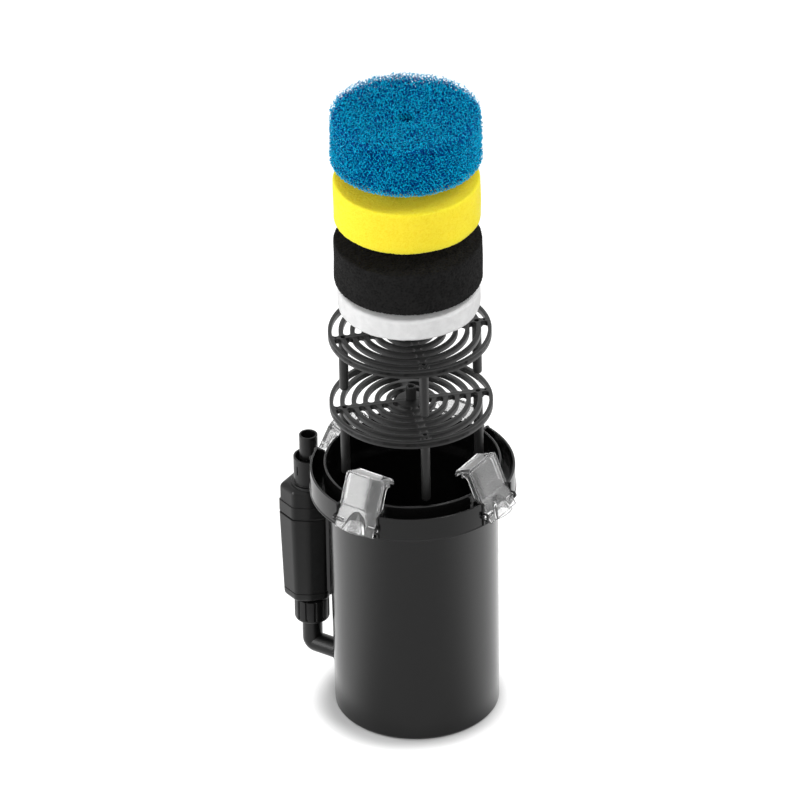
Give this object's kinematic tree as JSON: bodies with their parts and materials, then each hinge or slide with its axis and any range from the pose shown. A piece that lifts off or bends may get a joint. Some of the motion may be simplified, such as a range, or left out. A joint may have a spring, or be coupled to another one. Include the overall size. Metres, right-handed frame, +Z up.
{
  "type": "canister filter",
  "caption": "Upright canister filter drawn apart: a clipped tub with a side pump, slotted grids on legs and round filter pads held above its mouth.",
  "frame": {"origin": "centre of the flat underside of the tub", "axes": "+Z up along the tub's axis; the grids' legs stand on X and Y, the clips on the diagonals and the pump at 135 degrees from +X"},
  "size_m": [0.211, 0.2178, 0.657],
  "materials": {
    "tub_black": "smooth, glossy moulded plastic",
    "pump_black": "satin moulded plastic",
    "grid_black": "satin moulded plastic",
    "clear_plastic": "clear, glossy",
    "black_rubber": "matte",
    "white_floss": "soft, fibrous",
    "black_foam": "open-cell foam",
    "yellow_foam": "open-cell foam",
    "blue_foam": "open-cell foam",
    "ferrite": "matte",
    "ceramic": "smooth",
    "steel": "bright",
    "resin": "cast resin"
  },
  "bodies": {
    "canister": {"tub_body": "tub_black", "collar_ring": "tub_black", "impeller_chamber_cover": "pump_black", "pump_housing": "pump_black", "motor_block": "resin", "rotor_shaft": "ceramic", "lower_shaft_bush": "black_rubber", "cap_seal": "black_rubber", "pump_cap": "pump_black", "outlet_pipe": "pump_black", "union_seal": "black_rubber", "elbow_pipe": "pump_black", "elbow_grommet": "black_rubber", "pump_bracket": "pump_black", "lower_bracket_screw": "steel", "upper_bracket_screw": "steel", "cable_gland": "black_rubber"},
    "front_left_clip": {"clip_front_left": "clear_plastic"},
    "front_right_clip": {"clip_front_right": "clear_plastic"},
    "rear_right_clip": {"clip_rear_right": "clear_plastic"},
    "rear_left_clip": {"clip_rear_left": "clear_plastic"},
    "lower_tray": {"lower_grid": "grid_black", "centre_stem": "grid_black", "lower_grid_leg_1": "grid_black", "lower_grid_leg_2": "grid_black", "lower_grid_leg_3": "grid_black", "lower_grid_leg_4": "grid_black"},
    "upper_tray": {"upper_grid": "grid_black", "upper_grid_leg_1": "grid_black", "upper_grid_leg_2": "grid_black", "upper_grid_leg_3": "grid_black", "upper_grid_leg_4": "grid_black"},
    "white_pad": {"white_floss_pad": "white_floss"},
    "black_pad": {"black_foam_pad": "black_foam"},
    "yellow_pad": {"yellow_foam_pad": "yellow_foam"},
    "blue_pad": {"blue_foam_pad": "blue_foam"},
    "rotor": {"rotor_magnet": "ferrite", "impeller": "grid_black"},
    "nut": {"union_nut": "pump_black"}
  },
  "joints": [
    {"name": "front_left_clip_hinge", "type": "hinge", "parent": "canister", "child": "front_left_clip", "pos_m": [-0.06965, -0.06965, 0.2495], "axis": [0.7071, -0.7071, 0], "range_deg": [0, 110]},
    {"name": "front_right_clip_hinge", "type": "hinge", "parent": "canister", "child": "front_right_clip", "pos_m": [0.06965, -0.06965, 0.2495], "axis": [0.7071, 0.7071, 0], "range_deg": [0, 110]},
    {"name": "rear_right_clip_hinge", "type": "hinge", "parent": "canister", "child": "rear_right_clip", "pos_m": [0.06965, 0.06965, 0.2495], "axis": [-0.7071, 0.7071, 0], "range_deg": [0, 110]},
    {"name": "rear_left_clip_hinge", "type": "hinge", "parent": "canister", "child": "rear_left_clip", "pos_m": [-0.06965, 0.06965, 0.2495], "axis": [-0.7071, -0.7071, 0], "range_deg": [0, 75]},
    {"name": "lower_tray_lift", "type": "slide", "parent": "canister", "child": "lower_tray", "axis": [0, 0, 1], "range_m": [-0.036, 0]},
    {"name": "upper_tray_lift", "type": "slide", "parent": "lower_tray", "child": "upper_tray", "axis": [0, 0, 1], "range_m": [-0.0204, 0]},
    {"name": "white_pad_lift", "type": "slide", "parent": "upper_tray", "child": "white_pad", "axis": [0, 0, 1], "range_m": [-0.027, 0]},
    {"name": "black_pad_lift", "type": "slide", "parent": "white_pad", "child": "black_pad", "axis": [0, 0, 1], "range_m": [-0.0067, 0]},
    {"name": "yellow_pad_lift", "type": "slide", "parent": "black_pad", "child": "yellow_pad", "axis": [0, 0, 1], "range_m": [-0.0227, 0]},
    {"name": "blue_pad_lift", "type": "slide", "parent": "yellow_pad", "child": "blue_pad", "axis": [0, 0, 1], "range_m": [-0.0187, 0]},
    {"name": "rotor_spin", "type": "hinge", "parent": "canister", "child": "rotor", "pos_m": [-0.0845, 0.0845, 0.12], "axis": [0, 0, 1], "continuous": true},
    {"name": "union_nut_turn", "type": "hinge", "parent": "canister", "child": "nut", "pos_m": [-0.0845, 0.0845, 0.065], "axis": [0, 0, 1], "continuous": true}
  ]
}
